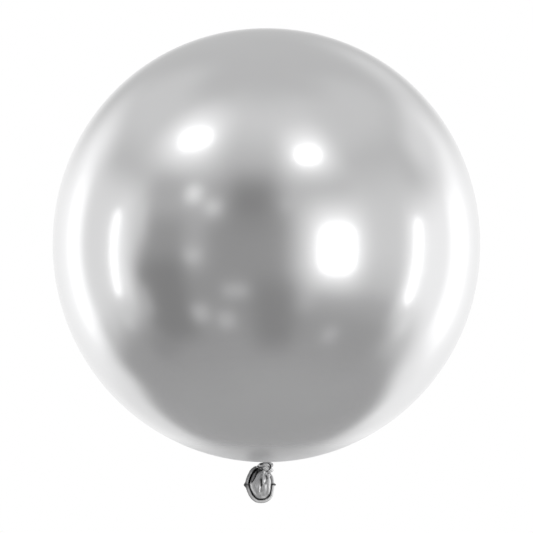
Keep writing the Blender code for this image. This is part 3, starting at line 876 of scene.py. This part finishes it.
# The room that the skin mirrors: a white sweep behind, a dim room in front, soft studio lamps.
# Each patch of its walls has its middle (turn, rise), its half width and half height, how soft
# its edges are, and its tone. A later patch lies over the ones before it.
# turn is from the camera side, + to the right; rise is up from the horizon; all in degrees
roomTone = 0.63
roomPatches = {
    "backSweep": ((180, -9), (76, 24), (20, 18), 1.03),
    "lowSweepRight": ((138, -34), (22, 12.5), (22, 12), 1.06),
    "lowSweepLeft": ((-142, -32), (22, 9), (22, 12), 0.95),
    "rearGlowRight": ((131, 4), (14, 29), (28, 28), 1.24),
    "rearGlowLeft": ((-129, 4), (14, 29), (28, 28), 1.22),
    "rearRight": ((125, -6), (10, 18), (8, 14), 1.55),
    "rearLeft": ((-123, -3), (9, 19), (8, 14), 1.55),
    "rearTopRight": ((153, 34), (12, 8), (20, 16), 0.84),
    "sideRight": ((117, 29), (15, 8), (20, 14), 0.90),
    "rightWall": ((68, 6), (20, 20), (16, 28), 0.78),
    "rightSweep": ((99, -5), (13, 20.5), (12, 18), 1.12),
    "leftWall": ((-94, 0), (22, 23), (10, 14), 0.9),
    "ceiling": ((0, 90), (360, 46), (20, 20), 0.64),
    "ceilingLit": ((0, 65), (70, 12), (60, 26), 0.79),
    "upperLeft": ((-115, 50), (28, 14), (30, 16), 0.76),
    "upperRight": ((88, 56), (40, 13), (30, 16), 0.74),
    "floorDark": ((0, -90), (360, 48), (20, 12), 0.43),
    "floorBehind": ((180, -52), (40, 9), (30, 10), 0.47),
    "leftGap": ((-112, -27), (6, 5), (10, 8), 0.72),
    "floorLeft": ((-99, -44), (25, 13), (16, 12), 0.41),
    "lowRight": ((53, -33), (27, 10), (12, 10), 0.47),
    "floorAhead": ((0, -60), (84, 27), (20, 10), 0.40),
    "frontDark": ((-29, -14), (41, 29), (12, 20), 0.37),
    "upperFrontDark": ((-45, 24), (22, 8), (10, 12), 0.51),
    "middleDark": ((-8, 21.5), (15, 12.5), (20, 20), 0.275),
    "paleBand": ((-38, 6), (6, 18), (12, 14), 0.52),
    "leftBand": ((-70, 10), (3, 8), (8, 10), 0.86),
    "leftDark": ((-60, -25), (15, 19), (12, 12), 0.27),
    "lowerDark": ((5, -37), (13, 19), (16, 16), 0.29),
    "glowTopLeft": ((-58, 50), (20, 13), (36, 24), 1.26),
    "glowTopRight": ((29, 46), (15, 11), (26, 18), 1.22),
    "glowSoftbox": ((36.5, -1), (14, 17), (20, 22), 1.24),
    "leftStripGlow": ((-83, -4), (2, 18), (8, 16), 1.15),
    "rightStripGlow": ((82, -8), (2, 20), (8, 16), 1.15),
    "leftStripFoot": ((-91, -25), (3, 5), (8, 8), 1.05),
    "rightStripFoot": ((92, -28), (4, 6), (10, 8), 1.00),
    "highSpotLeft": ((-41, 23), (4, 3.5), (6, 5), 1.40),
    "highSpotBeside": ((-29, 17), (4, 3), (6, 5), 1.05),
    "levelSpot": ((-39, -5), (4, 3), (6, 5), 0.80),
    "highSpotRight": ((11, 18.5), (3, 2), (5, 4), 0.66),
    "lowSpotMiddle": ((-17, -23), (7, 3), (6, 5), 0.66),
    "lowSpotLeft": ((-40, -33), (5, 4), (6, 5), 0.66),
    "lowSpotNear": ((-25, -38), (5, 4), (6, 5), 0.66),
    "lowSpotSide": ((-73, -23), (4, 6), (6, 6), 0.57),
    "underLeft": ((-78, -43), (9, 6), (12, 10), 0.34),
    "lowSpotFar": ((-90, -25), (6, 4), (8, 6), 0.80),
    "lowSpotRight": ((44, -44), (5, 4), (6, 5), 0.62),
}
floorShape = {"radius": 1.9, "depth": 1.60, "clear": 0.25, "rim": 0.95, "sides": 96,
              "shade": 0.56, "rough": 0.8, "gloss": 0.2}
# half is the lamp's half width and half height as the balloon sees it, spin turns it in its own plane
lampShapes = [
    {"name": "mainSoftbox", "turn": 35.4, "rise": -2.5, "half": (6.8, 8.4), "spin": 0, "power": 3.4},
    {"name": "rightStrip", "turn": 82.2, "rise": -6.5, "half": (1.2, 15.5), "spin": -3, "power": 2.8},
    {"name": "leftStrip", "turn": -83.3, "rise": -3.2, "half": (1, 15), "spin": -5, "power": 2.8},
    {"name": "topLeft", "turn": -49.5, "rise": 47.5, "half": (5.4, 2.2), "spin": 25, "power": 5.0},
    {"name": "topRight", "turn": 25.5, "rise": 41.5, "half": (4.1, 2), "spin": 0, "power": 5.0},
]
lampDistance = 2.4


def patchMask(tree, turn, rise, middle, half, soft):
    aside = calc(tree, "ABSOLUTE", calc(tree, "WRAP", minus(tree, turn, middle[0]), 180.0, -180.0))
    above = calc(tree, "ABSOLUTE", minus(tree, rise, middle[1]))
    across, upright = [fade(tree, away, reach + edge / 2, reach - edge / 2)
                       for away, reach, edge in zip((aside, above), half, soft)]
    return times(tree, across, upright)


def lightRoom(patches):
    world = bpy.data.worlds.new("studio")
    bpy.context.scene.world = world
    world.use_nodes = True
    tree = world.node_tree
    way = splitVector(tree, addNode(tree, "ShaderNodeTexCoord").outputs["Generated"])
    turn = calc(tree, "DEGREES", calc(tree, "ARCTAN2", way[0], times(tree, way[1], -1.0)))
    rise = calc(tree, "DEGREES", calc(tree, "ARCSINE", way[2]))
    tone = roomTone
    for name, (middle, half, soft, patchTone) in patches.items():
        mask = patchMask(tree, turn, rise, middle, half, soft)
        tone = mixTo(tree, "FLOAT", mask, tone, patchTone, label=name)
    # the camera itself sees plain white behind the balloon
    seen = addNode(tree, "ShaderNodeLightPath").outputs["Is Camera Ray"]
    backdrop = tree.nodes["Background"]
    backdrop.inputs["Color"].default_value = grey(1.0)
    feed(tree, backdrop.inputs["Strength"], mixTo(tree, "FLOAT", seen, tone, 1.0))


def hangLamp(shape):
    turn, rise, spin = [math.radians(shape[label]) for label in ("turn", "rise", "spin")]
    way = Vector((math.sin(turn) * math.cos(rise), -math.cos(turn) * math.cos(rise), math.sin(rise)))
    data = bpy.data.lights.new(shape["name"], "AREA")
    data.shape = "RECTANGLE"
    data.size, data.size_y = [2 * lampDistance * math.tan(math.radians(half)) for half in shape["half"]]
    data.energy = shape["power"] * data.size * data.size_y * math.pi
    lamp = bpy.data.objects.new(shape["name"], data)
    lamp.location = way * lampDistance
    lamp.rotation_euler = (way.to_track_quat("Z", "Y") @ Quaternion((0, 0, 1), spin)).to_euler()
    lamp.visible_camera = False
    bpy.context.scene.collection.objects.link(lamp)


def layFloor(shape):
    # The disc melts into the white background at its rim
    turns = np.linspace(0.0, fullTurn, shape["sides"], endpoint=False)
    rim = [(shape["radius"] * math.cos(a), shape["radius"] * math.sin(a), -shape["depth"]) for a in turns]
    mesh = bpy.data.meshes.new("studio_floor")
    mesh.from_pydata(rim, [], [tuple(range(len(rim)))])
    material, tree, shader = startMaterial("paleFloor", shape["rough"])
    shader.inputs["Base Color"].default_value = grey(shape["shade"])
    shader.inputs["Specular IOR Level"].default_value = shape["gloss"]
    far = distanceFromAxis(tree, splitVector(tree, objectPlace(tree)))
    feed(tree, shader.inputs["Alpha"], fade(tree, far, shape["radius"] * shape["rim"], shape["clear"]))
    mesh.materials.append(material)
    floor = bpy.data.objects.new("studio_floor", mesh)
    bpy.context.scene.collection.objects.link(floor)


lightRoom(roomPatches)
for lampShape in lampShapes:
    hangLamp(lampShape)
layFloor(floorShape)
bpy.context.scene.view_settings.view_transform = "Standard"
print("room lit")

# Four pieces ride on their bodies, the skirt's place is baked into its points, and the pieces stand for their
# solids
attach(envelope, "balloon")
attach(neck, "balloon")
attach(knot, "balloon")
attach(lip, "tail")
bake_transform(skirt)
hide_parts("envelope")
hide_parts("neck")
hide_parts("knot")
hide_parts("tail_skirt")
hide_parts("tail_lip")
print("pieces set on their bodies")
